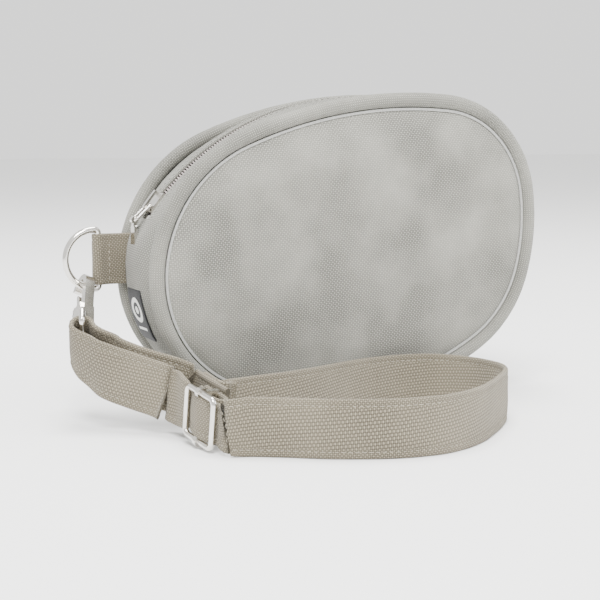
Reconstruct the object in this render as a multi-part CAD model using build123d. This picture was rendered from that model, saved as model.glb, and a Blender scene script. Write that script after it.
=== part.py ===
"""Small oval zip pouch with a piped edge, a D-ring tab and a clip-on adjustable wrist strap."""
import math
import os

from build123d import *

# ---- driving dimensions, millimetres -------------------------------------------------
# The pouch stands upright: X runs along it, Y from its front seam to its back seam, Z up.
DEPTH = 54.0                  # front seam plane to back seam plane
MID = DEPTH / 2
CLOTH = 1.2                   # outer cloth with its interfacing
LINING = 0.6
WADDING = 1.8

# The seam line is eight tangent arcs, counted anticlockwise from the right end.
SEAM_START = (91.2, 102.3)    # x, z of the first arc's start
SEAM_NORMAL = 8.4             # degrees: outward direction at the start
SEAM_TURNS = (76.8, 27.7, 61.5, 71.6, 14.0, 40.7, 44.0, 23.7)
SEAM_RADII = (49.6, 226.0, 67.8, 57.1, 88.3, 160.0, 57.9, 97.8)
CLOSING_ARCS = (1, 5)         # top and bottom arcs, whose radii close the line

PIPING_R = 3.5                # covered piping
PIPING_CORD_R = 2.5
PIPING_OUT = 2.2              # piping centre outside the seam line
PIPING_IN = 3.7               # piping centre behind the seam plane

# The zip lies on one round track, so its slider turns about the track's centre.
TRACK_CENTRE = (6.0, 17.7)
TRACK_R = 131.5               # outside of the gusset cloth beside the zip
TRACK_LEFT = 145.5            # degrees about the track's centre: closed end
TRACK_RIGHT = 48.5            # open end
SLIDER_AT = 141.7             # where the slider rests when the zip is closed
ZIP_SLOT = 4.6                # half width of the gap between the two gusset strips

# Side hardware stands in a plane just in front of the back seam.
RING_Y = 45.0
RING_WIRE = 1.5
RING_BAR_X = -119.5
RING_MID_Z = 72.5
RING_HALF = 14.0              # half height of the D, to the wire's centre
RING_CORNER = 1.8
TAB_WIDTH = 24.0
TAB_REACH = 22.0              # ring bar to inside the gusset, where the tab is cut off
BAR_PLAY = 0.08               # running clearance round a bar or pin

HOOK_LEAN = (-7.2, -29.0, -23.0)   # from the D-ring to the strap bar of the hook
HOOK_RING_X = -126.8          # where the hook hangs on the D-ring
HOOK_LENGTH = 37.9            # D-ring wire to strap bar
HOOK_MOUTH = 4.2
HOOK_RIM = 6.9
HOOK_THICK = 4.6
EYE_HALF = 14.2               # half the strap bar, between the eye's side wires
EYE_WIRE = 1.4
EYE_SHOULDER = -29.9          # where the eye's side wires turn in to the neck

STRAP_WIDTH = 25.0
STRAP_THICK = 2.2
STRAP_SQUEEZED = 18.0         # strap width inside the slide
SLIDE_WIRE = 1.3
SLIDE_PITCH = 11.5            # slide centre to each end wire
SLIDE_HALF_HEIGHT = 10.6      # slide centre to its top and bottom wires
SLIDE_AT = (-106.5, -52.0, 13.8)
SLIDE_RISE = 8.0              # degrees: how the slide climbs towards the hook

# Middle of the whole footprint, which becomes the origin.
FOOT_X = -23.25
FOOT_Y = -25.05

os.makedirs("parts", exist_ok=True)


# ---- helpers -------------------------------------------------------------------------
def save(name, shape):
    """Write one piece, moved so that the footprint's middle is the origin."""
    moved = Pos(-FOOT_X, -FOOT_Y, 0) * shape
    export_step(moved, "parts/" + name + ".step")


def seam_arcs(offset=0.0):
    """The seam line's arcs as (centre x, centre z, radius, first normal, turn)."""
    radii = list(SEAM_RADII)
    first = [SEAM_NORMAL + sum(SEAM_TURNS[:i]) for i in range(len(SEAM_TURNS))]
    steps = []
    for a, turn in zip(first, SEAM_TURNS):
        a0, a1 = math.radians(a), math.radians(a + turn)
        steps.append((math.cos(a1) - math.cos(a0), math.sin(a1) - math.sin(a0)))
    i, j = CLOSING_ARCS
    rest = [k for k in range(len(radii)) if k not in CLOSING_ARCS]
    gap_x = -sum(radii[k] * steps[k][0] for k in rest)
    gap_z = -sum(radii[k] * steps[k][1] for k in rest)
    det = steps[i][0] * steps[j][1] - steps[j][0] * steps[i][1]
    radii[i] = (gap_x * steps[j][1] - steps[j][0] * gap_z) / det
    radii[j] = (steps[i][0] * gap_z - gap_x * steps[i][1]) / det
    arcs = []
    x, z = SEAM_START
    for a, turn, radius, step in zip(first, SEAM_TURNS, radii, steps):
        cx = x - radius * math.cos(math.radians(a))
        cz = z - radius * math.sin(math.radians(a))
        arcs.append((cx, cz, radius + offset, a, turn))
        x += radius * step[0]
        z += radius * step[1]
    return arcs


def region(offset=0.0):
    """The area inside the seam line, in a sketch whose y is the object's Z."""
    edges = [CenterArc((cx, cz), r, a, turn) for cx, cz, r, a, turn in seam_arcs(offset)]
    return make_face(edges)


def disc(offset=0.0):
    return Pos(*TRACK_CENTRE, 0) * Circle(TRACK_R + offset)


def slab(sketch, y0, y1):
    """A sketch made solid between two depths."""
    return Rot(90, 0, 0) * (Pos(0, 0, -y1) * extrude(sketch, y1 - y0))


def wedge(a0, a1, reach=260.0):
    """Sector about the track's centre, between two angles in degrees."""
    points = [(0, 0)]
    count = 6
    for i in range(count + 1):
        a = math.radians(a0 + (a1 - a0) * i / count)
        points.append((reach * math.cos(a), reach * math.sin(a)))
    return Pos(*TRACK_CENTRE, 0) * make_face(Polyline(points, close=True))


def track_sweep(profile, a0, a1):
    """Turn a (radius, depth) profile about the track's centre, from a0 to a1 degrees."""
    axis = Axis((TRACK_CENTRE[0], 0, TRACK_CENTRE[1]), (0, -1, 0))
    flat = Pos(TRACK_CENTRE[0], 0, TRACK_CENTRE[1]) * profile
    solid = revolve(flat, axis, a1 - a0)
    return solid.rotate(axis, a0)


def block(r0, r1, y0, y1):
    """Rectangular (radius, depth) profile in the XY plane."""
    return Pos((r0 + r1) / 2, (y0 + y1) / 2, 0) * Rectangle(r1 - r0, y1 - y0)


def ring_sweep(offset, y, radius, bore=0.0):
    """Tube that follows the seam line, outside it by offset, at one depth."""
    solids = []
    for cx, cz, r, a, turn in seam_arcs(offset):
        profile = Pos(r, 0, 0) * Circle(radius)
        if bore:
            profile -= Pos(r, 0, 0) * Circle(bore)
        axis = Axis((0, 0, 0), (0, -1, 0))
        tube = revolve(profile, axis, turn).rotate(axis, a)
        solids.append(Pos(cx, y, cz) * tube)
    return solids[0].fuse(*solids[1:]).clean()


def above_floor(shape):
    return shape - Pos(0, MID, -25) * Box(500, 200, 50)


def unit(v):
    size = math.sqrt(sum(c * c for c in v))
    return Vector(*[c / size for c in v])


# ---- pouch: panels, wadding, lining --------------------------------------------------
def make_panels():
    save("front_panel", slab(region(-1.6), 0.0, CLOTH))
    save("back_panel", slab(region(-1.6), DEPTH - CLOTH, DEPTH))
    soft = region(-3.6)
    y = CLOTH + 0.1
    save("front_wadding", slab(soft, y, y + WADDING))
    save("back_wadding", slab(soft, DEPTH - y - WADDING, DEPTH - y))
    inner = region(-4.4)
    y += WADDING + 0.1
    save("lining_front", slab(inner, y, y + LINING))
    save("lining_back", slab(inner, DEPTH - y - LINING, DEPTH - y))
    lining_ring = (region(-4.4) & disc(-6.0)) - (region(-4.4 - LINING) & disc(-6.0 - LINING))
    save("lining_gusset", slab(lining_ring, y + LINING + 0.1, DEPTH - y - LINING - 0.1))


def make_piping():
    for side, y in (("front", PIPING_IN), ("back", DEPTH - PIPING_IN)):
        cover = ring_sweep(PIPING_OUT, y, PIPING_R, PIPING_CORD_R + 0.05)
        save(side + "_piping", above_floor(cover))
        save(side + "_piping_cord", ring_sweep(PIPING_OUT, y, PIPING_CORD_R))
        tape = region(-1.6) - region(-2.8)
        low, high = sorted((y - PIPING_IN * 0.4, y + PIPING_IN * 0.4))
        save(side + "_seam_tape", slab(tape, low, high))


# ---- gusset and zip ------------------------------------------------------------------
GUSSET_EDGE = PIPING_IN + PIPING_R + 0.1    # where the gusset meets each piping


def make_lower_gusset():
    ring = region(0.0) - region(-CLOTH)
    ring -= wedge(TRACK_RIGHT, TRACK_LEFT)
    save("lower_gusset", slab(ring, GUSSET_EDGE, DEPTH - GUSSET_EDGE))


def seam_radius(angle):
    """Distance from the track's centre to the seam line, in one direction."""
    best = 0.0
    ux, uz = math.cos(math.radians(angle)), math.sin(math.radians(angle))
    for cx, cz, r, a, turn in seam_arcs():
        dx, dz = cx - TRACK_CENTRE[0], cz - TRACK_CENTRE[1]
        along = dx * ux + dz * uz
        away = dx * dx + dz * dz - along * along
        if away > r * r:
            continue
        reach = along + math.sqrt(r * r - away)
        normal = math.degrees(math.atan2(reach * uz - dz, reach * ux - dx))
        if (normal - a) % 360 <= turn + 1e-6:
            best = max(best, reach)
    return best


def strip_band(radius_of, y):
    """Thin band across the zip's sector at one depth, as a flat face."""
    steps = 10
    points = []
    inner = []
    for i in range(steps + 1):
        angle = TRACK_RIGHT + (TRACK_LEFT - TRACK_RIGHT) * i / steps
        ux, uz = math.cos(math.radians(angle)), math.sin(math.radians(angle))
        r = radius_of(angle)
        cx, cz = TRACK_CENTRE
        points.append((cx + r * ux, y, cz + r * uz))
        inner.append((cx + (r - CLOTH) * ux, y, cz + (r - CLOTH) * uz))
    top = Spline(points)
    low = Spline(inner)
    ends = [Line(points[0], inner[0]), Line(points[-1], inner[-1])]
    return Face(Wire([top, ends[1], low, ends[0]]))


def make_zip_gusset():
    def track(angle):
        return TRACK_R
    front = loft([strip_band(seam_radius, GUSSET_EDGE), strip_band(track, MID - ZIP_SLOT)],
                 ruled=True)
    save("zip_gusset_front", front)
    back = loft([strip_band(track, MID + ZIP_SLOT), strip_band(seam_radius, DEPTH - GUSSET_EDGE)],
                ruled=True)
    save("zip_gusset_back", back)


TAPE_R = TRACK_R - 3.4        # underside of the zip tapes
TAPE_THICK = 0.6
COIL_R = 1.1
COIL_Y = 2.0                  # coil centre from the middle
COIL_TRACK = TAPE_R + TAPE_THICK + COIL_R + 0.02


def make_zip():
    for side, s in (("front", -1), ("back", 1)):
        near, far = sorted((MID + s * 0.9, MID + s * 8.0))
        tape = track_sweep(block(TAPE_R, TAPE_R + TAPE_THICK, near, far), TRACK_RIGHT, TRACK_LEFT)
        save("zip_tape_" + side, tape)
        coil = Pos(COIL_TRACK, MID + s * COIL_Y, 0) * Circle(COIL_R)
        save("zip_coil_" + side, track_sweep(coil, TRACK_RIGHT + 1.2, TRACK_LEFT - 1.2))
    stop = block(COIL_TRACK - COIL_R, COIL_TRACK + COIL_R - 0.5, MID - 3.1, MID + 3.1)
    save("zip_closed_stop", track_sweep(stop, TRACK_LEFT - 1.1, TRACK_LEFT - 0.2))
    save("zip_open_stop", track_sweep(stop, TRACK_RIGHT + 0.2, TRACK_RIGHT + 1.1))


SLIDER_HALF = 2.35            # degrees of track each side of the slider's middle
SLIDER_TOP = COIL_TRACK + COIL_R + 0.25
BRIDGE_TOP = SLIDER_TOP + 1.3 + 3.0


def make_slider():
    """Two plates joined by the wedge between the coils, and the bridge on top."""
    a0, a1 = SLIDER_AT - SLIDER_HALF, SLIDER_AT + SLIDER_HALF
    top = track_sweep(block(SLIDER_TOP, SLIDER_TOP + 1.3, MID - 4.2, MID + 4.2), a0, a1)
    low_r = TAPE_R - 0.25
    low = track_sweep(block(low_r - 1.1, low_r, MID - 4.2, MID + 4.2), a0, a1)
    post = track_sweep(block(low_r - 0.2, SLIDER_TOP + 0.2, MID - 0.55, MID + 0.55),
                       SLIDER_AT - 1.9, SLIDER_AT - 0.2)
    save("slider_body", top + low + post)
    foot = SLIDER_TOP + 1.3
    outer = track_sweep(block(foot, BRIDGE_TOP, MID - 1.3, MID + 1.3), a0 + 0.3, a1 - 0.3)
    hole = track_sweep(block(foot, BRIDGE_TOP - 1.0, MID - 2, MID + 2), a0 + 0.9, a1 - 0.9)
    save("slider_bridge", outer - hole)


def track_point(radius, angle):
    a = math.radians(angle)
    return (TRACK_CENTRE[0] + radius * math.cos(a), MID, TRACK_CENTRE[1] + radius * math.sin(a))


LINK_WIRE = 0.75
LINK_AXIS = track_point(BRIDGE_TOP - 1.95, SLIDER_AT + 1.0)
LINK_LENGTH = 10.0
LINK_DROP = math.radians(43)  # how steeply the link leans out from the bridge
PULL_AXIS = (LINK_AXIS[0] - LINK_LENGTH * math.cos(LINK_DROP), MID,
             LINK_AXIS[2] - LINK_LENGTH * math.sin(LINK_DROP))
PULL_LENGTH = 23.0


def make_pull():
    """Wire link through the bridge, and the pull that hangs from it."""
    half = 2.6
    corners = [(0, half), (LINK_LENGTH, half), (LINK_LENGTH, -half), (0, -half)]
    loop = FilletPolyline(corners, radius=1.2, close=True)
    start = Plane(origin=loop @ 0, z_dir=loop % 0)
    link = sweep(start * Circle(LINK_WIRE), path=loop)
    turn = 180 - math.degrees(LINK_DROP)
    place = Pos(*LINK_AXIS) * Rot(0, turn, 0)
    save("zip_pull_link", place * link)
    neck, foot = 1.55, 3.5
    outline = Polyline([(-neck, 0), (neck, 0), (neck, -2.6), (2.6, -3.6),
                        (foot, -PULL_LENGTH + 1), (2.6, -PULL_LENGTH), (-2.6, -PULL_LENGTH),
                        (-foot, -PULL_LENGTH + 1), (-2.6, -3.6), (-neck, -2.6)], close=True)
    plate = Plane.YZ * extrude(make_face(outline), 0.8, both=True)
    barrel = Cylinder(1.7, 2 * neck, rotation=(90, 0, 0))
    bore = Cylinder(LINK_WIRE + BAR_PLAY, 12, rotation=(90, 0, 0))
    pull = plate + barrel - bore
    save("zip_pull_tab", Pos(*PULL_AXIS) * pull)


# ---- D-ring and its tab --------------------------------------------------------------
def make_ring_and_tab():
    top, low = RING_MID_Z + RING_HALF, RING_MID_Z - RING_HALF
    x0 = RING_BAR_X
    x1 = x0 - RING_CORNER
    s = RING_CORNER * (1 - math.sqrt(0.5))
    upper = ThreePointArc((x0, RING_Y, top - RING_CORNER), (x0 - s, RING_Y, top - s),
                          (x1, RING_Y, top))
    bow = ThreePointArc((x1, RING_Y, top), (x1 - RING_HALF, RING_Y, RING_MID_Z),
                        (x1, RING_Y, low))
    lower = ThreePointArc((x1, RING_Y, low), (x0 - s, RING_Y, low + s),
                          (x0, RING_Y, low + RING_CORNER))
    profile = Pos(x0, RING_Y, RING_MID_Z) * Circle(RING_WIRE)
    mid_bar = Line((x0, RING_Y, RING_MID_Z), (x0, RING_Y, top - RING_CORNER))
    low_bar = Line((x0, RING_Y, low + RING_CORNER), (x0, RING_Y, RING_MID_Z))
    path = Wire([mid_bar, upper, bow, lower, low_bar])
    save("d_ring", sweep(profile, path=path))

    hole = RING_WIRE + BAR_PLAY
    wrap = hole + CLOTH
    plan = Circle(wrap) + Pos(TAB_REACH / 2, 0, 0) * Rectangle(TAB_REACH, 2 * CLOTH + 0.4)
    plan -= Circle(hole)
    plan = Pos(x0, RING_Y, RING_MID_Z - TAB_WIDTH / 2) * plan
    save("d_ring_tab", extrude(plan, TAB_WIDTH) - slab(region(0.03), 0, DEPTH))


def make_label():
    """Folded woven label, sewn flat on the gusset under the tab."""
    ring = region(0.75) - region(0.05)
    patch = slab(ring, MID - 9.0, MID + 9.0)
    keep = Pos(-105, MID, 48.0) * Rot(0, -14, 0) * Box(30, 40, 24.5)
    save("side_label", patch & keep)


# ---- snap hook -----------------------------------------------------------------------
DOWN = unit(HOOK_LEAN)                        # along the hook, away from the D-ring
RING_OUT = HOOK_RING_X - RING_BAR_X + RING_CORNER
RING_DROP = math.sqrt(RING_HALF ** 2 - RING_OUT ** 2)
HOOK_AT = Vector(HOOK_RING_X, RING_Y, RING_MID_Z - RING_DROP)
WIRE_DIR = unit((RING_DROP, 0, RING_OUT))     # along the D-ring's wire where the hook hangs
UP_HOOK = unit(DOWN * -1 - WIRE_DIR * WIRE_DIR.dot(DOWN * -1))
HOOK_PLANE = Plane(origin=HOOK_AT, x_dir=UP_HOOK.cross(WIRE_DIR), z_dir=WIRE_DIR)
# The eye turns in the hook, so that its strap bar stands as upright as it can.
BAR_DIR = unit(Vector(0, 0, 1) - UP_HOOK * UP_HOOK.Z)
EYE_PLANE = Plane(origin=HOOK_AT, x_dir=BAR_DIR, z_dir=BAR_DIR.cross(UP_HOOK))
ACROSS = BAR_DIR.cross(UP_HOOK * -1)
EYE_AT = HOOK_AT - UP_HOOK * HOOK_LENGTH
NOSE = 1.7                                    # mouth centre below the D-ring wire
PIVOT = (3.3, -18.2)
PIN_R = 0.9
SWIVEL_R = 1.5
COLLAR_LOW = -25.6


def make_hook():
    """J-shaped hook with a base block, bored along its length for the swivel."""
    mouth = Pos(0, -NOSE) * Circle(HOOK_MOUTH)
    rim = Pos(0, -NOSE) * Circle(HOOK_RIM)
    spine = make_face(Polyline([(-HOOK_RIM, -NOSE), (-3.9, -NOSE), (-2.2, -14.5), (5.6, -16.4),
                                (5.6, -19.0), (3.4, COLLAR_LOW), (-3.4, COLLAR_LOW),
                                (-5.6, -18.0)], close=True))
    gap = make_face(Polyline([(2.0, -NOSE + 0.4), (12, 3.6), (12, -16), (2.0, -16)], close=True))
    throat = Pos(0, -NOSE - HOOK_RIM) * Rectangle(2 * HOOK_RIM + 1, 2 * HOOK_RIM - 0.8)
    outline = (rim - mouth - gap - throat) + spine
    body = extrude(HOOK_PLANE * outline, HOOK_THICK / 2, both=True)
    base = HOOK_PLANE * Pos(0, (COLLAR_LOW - 15.2) / 2, 0) * Box(
        7.2, -COLLAR_LOW - 15.2, 7.4)
    body += base
    lever_slot = make_face(Polyline([(-0.9, -12), (8, -12), (8, -21.2), (0.9, -21.2),
                                     (-0.9, -17.6)], close=True))
    body -= extrude(HOOK_PLANE * lever_slot, 1.45, both=True)
    along = Plane(origin=HOOK_AT, x_dir=WIRE_DIR, z_dir=UP_HOOK)
    bore = along * Pos(0, 0, -23.0) * Cylinder(SWIVEL_R + BAR_PLAY, 12)
    body -= bore
    pocket = along * Pos(0, 0, -20.6) * Cylinder(2.3, 3.6)
    body -= pocket
    pin = HOOK_PLANE * Pos(*PIVOT, 0) * Cylinder(PIN_R, 12)
    body -= pin
    save("hook_body", body)
    gate_pin = HOOK_PLANE * Pos(*PIVOT, 0) * Cylinder(PIN_R, 7.2)
    save("gate_pin", gate_pin)
    leaf = HOOK_PLANE * Pos(-0.55, -14.6, 0) * Box(0.4, 4.2, 2.4)
    save("gate_spring", leaf)


def make_gate():
    """Spring gate that closes the mouth from inside, with a thumb lever."""
    arm = make_face(Polyline([(2.3, -18.0), (4.4, -18.0), (4.6, -3.3), (3.6, -3.3), (2.3, -6)],
                             close=True))
    lever = make_face(Polyline([(4.0, -10.5), (7.4, -8.2), (7.9, -9.2), (4.2, -13.8)], close=True))
    knuckle = Pos(*PIVOT) * Circle(1.7)
    gate = extrude(HOOK_PLANE * (arm + lever + knuckle), 1.2, both=True)
    gate -= HOOK_PLANE * Pos(*PIVOT, 0) * Cylinder(PIN_R + BAR_PLAY, 12)
    save("hook_gate", gate)


def make_swivel_eye():
    """Headed swivel pin and the wire eye that carries the strap bar."""
    corners = [(-EYE_HALF, -HOOK_LENGTH), (EYE_HALF, -HOOK_LENGTH), (EYE_HALF, EYE_SHOULDER),
               (4.5, -27.4), (-4.5, -27.4), (-EYE_HALF, EYE_SHOULDER)]
    loop = FilletPolyline(corners, radius=2.0, close=True)
    start = Plane(origin=loop @ 0, z_dir=loop % 0)
    wire = sweep(start * Circle(EYE_WIRE), path=loop)
    along = Pos(0, -23.2, 0) * Rot(90, 0, 0)
    pin = along * Cylinder(SWIVEL_R, 8.0)
    head = Pos(0, -20.9, 0) * Rot(90, 0, 0) * Cylinder(1.95, 1.2)
    neck = Pos(0, -26.9, 0) * Rot(90, 0, 0) * Cylinder(2.6, 2.2)
    save("swivel_eye", EYE_PLANE * (wire + pin + head + neck))


# ---- wrist strap ---------------------------------------------------------------------
RISE = math.radians(SLIDE_RISE)
LEVEL_RUN = unit((-0.124, 0.992, 0))          # along the strap in the slide, seen from above
RUN = LEVEL_RUN * math.cos(RISE) + Vector(0, 0, math.sin(RISE))
OUTWARD = unit((-0.992, -0.124, 0))           # out of the slide's face
SLIDE_UP = RUN.cross(OUTWARD) * -1
SLIDE_CENTRE = Vector(*SLIDE_AT)
STRAP_IN = SLIDE_WIRE + 0.35 + STRAP_THICK / 2          # strap centre behind the end wires
TAIL_IN = STRAP_IN + STRAP_THICK + 0.3                  # the sewn end's inner layer
BAR_IN = TAIL_IN + STRAP_THICK / 2 + 1.25               # centre bar
ARM_IN = BAR_IN + 1.25 + STRAP_THICK / 2                # the sewn end's outer layer
RETURN_IN = ARM_IN + STRAP_THICK + 0.3                  # return strand beside it
SEWN_IN = RETURN_IN + STRAP_THICK + 0.25                       # wrist loop's end sewn to the return


def in_slide(along, inside):
    """Point at a distance along the strap and inside the slide's face."""
    return SLIDE_CENTRE + RUN * along - OUTWARD * inside


def station(point, up=(0, 0, 1), width=STRAP_WIDTH):
    return (Vector(*point), unit(up), width)


def ribbon(stations):
    """Strap through hand-set stations, as ruled lengths between mitred sections."""
    faces = []
    for i, (point, up, width) in enumerate(stations):
        before = stations[max(i - 1, 0)][0]
        after = stations[min(i + 1, len(stations) - 1)][0]
        ahead = after - before
        side = unit(up.cross(ahead))
        half_turn = 1.0
        if 0 < i < len(stations) - 1:
            half_turn = math.cos(math.radians((point - before).get_angle(after - point) / 2))
        u = up * (width / 2)
        t = side * (STRAP_THICK / 2 / half_turn)
        corners = [point + u + t, point - u + t, point - u - t, point + u - t]
        faces.append(make_face(Polyline(corners, close=True)))
    lengths = [loft([a, b], ruled=True) for a, b in zip(faces, faces[1:])]
    return lengths[0].fuse(*lengths[1:])


def round_bar(radius, angles):
    """Stations that take the strap round the hook's strap bar."""
    result = []
    for angle in angles:
        a = math.radians(angle)
        point = EYE_AT + ACROSS * (radius * math.cos(a)) + UP_HOOK * (radius * math.sin(a))
        result.append(station(point, BAR_DIR))
    return result


def make_hook_loop():
    """From the slide out to the hook's strap bar, round it, and back beside the slide."""
    lean = tuple(BAR_DIR + Vector(0, 0, 1.4))
    out = [station(in_slide(-14.0, STRAP_IN), SLIDE_UP, STRAP_SQUEEZED),
           station(in_slide(25.5, STRAP_IN), SLIDE_UP, STRAP_SQUEEZED),
           station((-113.5, -17.5, 20.4)),
           station((-122.0, -9.0, 23.4)),
           station((-130.0, -1.0, 26.6)),
           station((-135.6, 8.0, 30.6), lean)]
    back = [station((-125.2, 6.0, 31.0), lean),
            station((-120.5, -3.5, 27.0)),
            station((-112.5, -11.5, 23.8)),
            station((-103.5, -18.0, 20.8)),
            station(in_slide(25.5, RETURN_IN), SLIDE_UP, STRAP_WIDTH - 2),
            station(in_slide(-2.0, RETURN_IN), SLIDE_UP, STRAP_WIDTH - 2)]
    turn = round_bar(4.9, (180, 135, 90, 45, 0))
    save("strap_hook_loop", ribbon(out + turn + back))


def make_wrist_loop():
    """From the slide round the wrist and back, to be sewn on the return strand."""
    floor = [(-93.0, -73.5), (-80.0, -81.0), (-66.0, -90.5), (-50.0, -98.5), (-34.0, -103.0),
             (-18.0, -103.0), (-4.0, -98.5), (9.0, -90.5), (21.5, -79.5), (33.0, -68.0),
             (42.0, -57.5), (46.0, -47.5), (46.0, -38.0), (44.0, -28.0), (39.0, -17.5),
             (31.0, -9.5), (20.0, -6.0), (8.0, -5.5), (-8.0, -8.5), (-24.0, -14.5),
             (-40.0, -21.0), (-56.0, -26.0), (-71.0, -28.5), (-83.0, -31.5)]
    z = STRAP_WIDTH / 2
    start = [station(in_slide(-14.0, STRAP_IN), SLIDE_UP, STRAP_SQUEEZED),
             station(in_slide(-16.0, STRAP_IN), SLIDE_UP, STRAP_SQUEEZED),
             station(in_slide(-20.0, STRAP_IN + 1.4) + Vector(0, 0, 1.2), (0, 0, 1), 23.0)]
    end = [station(in_slide(9.0, SEWN_IN), SLIDE_UP, STRAP_WIDTH - 2),
           station(in_slide(24.0, SEWN_IN), SLIDE_UP, STRAP_WIDTH - 2)]
    middle = [station((x, y, z)) for x, y in floor]
    save("strap_wrist_loop", ribbon(start + middle + end))


def make_end_loop():
    """The strap's sewn end: a loose loop round the slide's centre bar."""
    width = STRAP_SQUEEZED
    half = (ARM_IN - TAIL_IN) / 2
    middle = (ARM_IN + TAIL_IN) / 2
    stations = [station(in_slide(13.5, ARM_IN), SLIDE_UP, width),
                station(in_slide(-4.0, ARM_IN), SLIDE_UP, width)]
    for angle in (45, 90, 135):
        a = math.radians(angle)
        point = in_slide(-4.0 - half * math.sin(a), middle + half * math.cos(a))
        stations.append(station(point, SLIDE_UP, width))
    stations += [station(in_slide(-4.0, TAIL_IN), SLIDE_UP, width),
                 station(in_slide(5.5, TAIL_IN), SLIDE_UP, width),
                 station(in_slide(13.5, ARM_IN - STRAP_THICK), SLIDE_UP, width)]
    save("strap_end_loop", ribbon(stations))


def make_slide():
    """Wire frame of the slide, and the centre bar whose hooked ends ride on it."""
    face = Plane(origin=SLIDE_CENTRE, x_dir=RUN, z_dir=OUTWARD)
    p, h = SLIDE_PITCH, SLIDE_HALF_HEIGHT
    loop = FilletPolyline([(-p, -h), (p, -h), (p, h), (-p, h)], radius=2.6, close=True)
    start = Plane(origin=loop @ 0, z_dir=loop % 0)
    save("slide_frame", face * sweep(start * Circle(SLIDE_WIRE), path=loop))
    bar_r = 1.15
    clear = SLIDE_WIRE + 0.05
    bar = Pos(0, 0, -BAR_IN) * Rot(90, 0, 0) * Cylinder(bar_r, 2 * h - 1.0)
    for side in (-1, 1):
        arm = Pos(0, side * (h - 0.2), -BAR_IN / 2 - 0.6) * Box(2.3, 1.9, BAR_IN - 0.4)
        curl = Pos(0, side * h, 0) * Rot(0, 90, 0) * Cylinder(clear + 0.9, 2.6)
        bar += arm
        bar += curl
    for side in (-1, 1):
        bar -= Pos(0, side * h, 0) * Rot(0, 90, 0) * Cylinder(clear, 4.0)
    save("slide_bar", face * bar)


make_panels()
make_piping()
make_lower_gusset()
make_zip_gusset()
make_zip()
make_slider()
make_pull()
make_ring_and_tab()
make_label()
make_hook()
make_gate()
make_swivel_eye()
make_hook_loop()
make_wrist_loop()
make_end_loop()
make_slide()
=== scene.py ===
"""Looks of the oval zip pouch and its wrist strap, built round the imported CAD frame."""

import math

import bmesh
import bpy
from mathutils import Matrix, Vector, noise


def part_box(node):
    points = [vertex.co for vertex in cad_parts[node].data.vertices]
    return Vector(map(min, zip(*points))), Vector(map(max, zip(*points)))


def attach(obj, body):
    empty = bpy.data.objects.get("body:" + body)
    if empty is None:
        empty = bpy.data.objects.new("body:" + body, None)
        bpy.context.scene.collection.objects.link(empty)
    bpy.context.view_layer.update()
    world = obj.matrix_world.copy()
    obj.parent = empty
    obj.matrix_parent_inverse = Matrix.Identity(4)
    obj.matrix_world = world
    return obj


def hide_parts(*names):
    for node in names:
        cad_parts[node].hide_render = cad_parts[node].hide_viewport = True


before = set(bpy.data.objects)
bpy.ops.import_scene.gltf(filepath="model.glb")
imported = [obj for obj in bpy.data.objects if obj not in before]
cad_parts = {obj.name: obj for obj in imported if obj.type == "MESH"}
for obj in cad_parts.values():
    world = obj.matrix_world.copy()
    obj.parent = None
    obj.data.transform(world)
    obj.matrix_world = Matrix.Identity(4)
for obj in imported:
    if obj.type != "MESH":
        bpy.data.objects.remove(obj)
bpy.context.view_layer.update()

# ---- driving sizes, millimetres ------------------------------------------------------
# x runs along the pouch, y from its front seam plane to its back, z up from the floor.
MM = 0.001
FOOT = Vector((-23.25, -25.05, 0.0))      # middle of the footprint, the frame's origin
DEPTH = 54.0
SIDES = (("front", -1), ("back", 1))      # each side and its direction along y

# The seam line runs anticlockwise through arcs from SEAM_START, where its outward normal
# is at SEAM_NORMAL degrees. The radii of the CLOSING_ARCS are worked out so that it closes.
SEAM_START = (91.2, 102.3)
SEAM_NORMAL = 8.4
SEAM_TURNS = (76.8, 27.7, 61.5, 71.6, 14.0, 40.7, 44.0, 23.7)
SEAM_RADII = (49.6, 226.0, 67.8, 57.1, 88.3, 160.0, 57.9, 97.8)
CLOSING_ARCS = (1, 5)
FINE = 0.3                                # spacing where the seam line is looked up
LOW_HALF = 60.0                           # the zip is above this height

PIPING_R = 3.5
PIPING_OUT = 2.2                          # cord's middle, out from the seam line
PIPING_IN = 3.7                           # cord's middle, in from the front or back

PANEL_MIDDLE = (-8.0, 76.0)
PANEL_INSET = (0.2, 0.9, 1.7, 2.8, 4.4, 6.5, 9.0, 12.0, 16.0)
PANEL_DEPTH = (4.6, 4.3, 3.7, 2.9, 1.9, 1.0, 0.3, -0.3, -0.8)
PANEL_CROWN = 1.7                         # how far the middle stands out past the last of those
PANEL_RINGS = 16

TRACK_CENTRE = (6.0, 17.7)
TRACK_R = 131.5                           # outside of the zip strips
TRACK_LEFT = 145.5                        # degrees: closed end
TRACK_RIGHT = 48.5                        # open end
ZIP_Y = 27.0
STITCH_IN = 2.4                           # zip strip's stitching, in from its edge
ZIP_SLOT = 4.6                            # half the gap between the strips
ROLL_R = 0.9                              # strip's edge, rolled under
ROLL_WIDE = 0.7
TAPE_REACH = 6.2
TAPE_THICK = 0.6
LABEL_Y = 27.0
LABEL_WIDTH = 18.0
LABEL_COLUMNS = 18
LABEL_MIDDLE = (10.3, 8.8)                # middle of the label's ring, along and across it
GUSSET_BULGE = 5.4                        # how far the stuffed gusset stands out of the seam
GUSSET_TUCK = 1.2                         # how far its edges go in behind the piping
GUSSET_HIDDEN = 1.2                       # how far the piping covers those edges
GUSSET_COLUMNS = 30
END_FADE = 17.0                           # how soon the gusset leaves the zip's track
TAPE_R = TRACK_R - 3.4                    # underside of the tapes
COIL_R = 1.1
COIL_Y = 1.7
COIL_TRACK = TAPE_R + TAPE_THICK + COIL_R
COIL_PITCH = 1.5
COIL_SWING = 1.45                         # half the coil's width
COIL_LIFT = 0.55                          # half its height, to the middle of the thread
COIL_THREAD = 0.42
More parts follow.
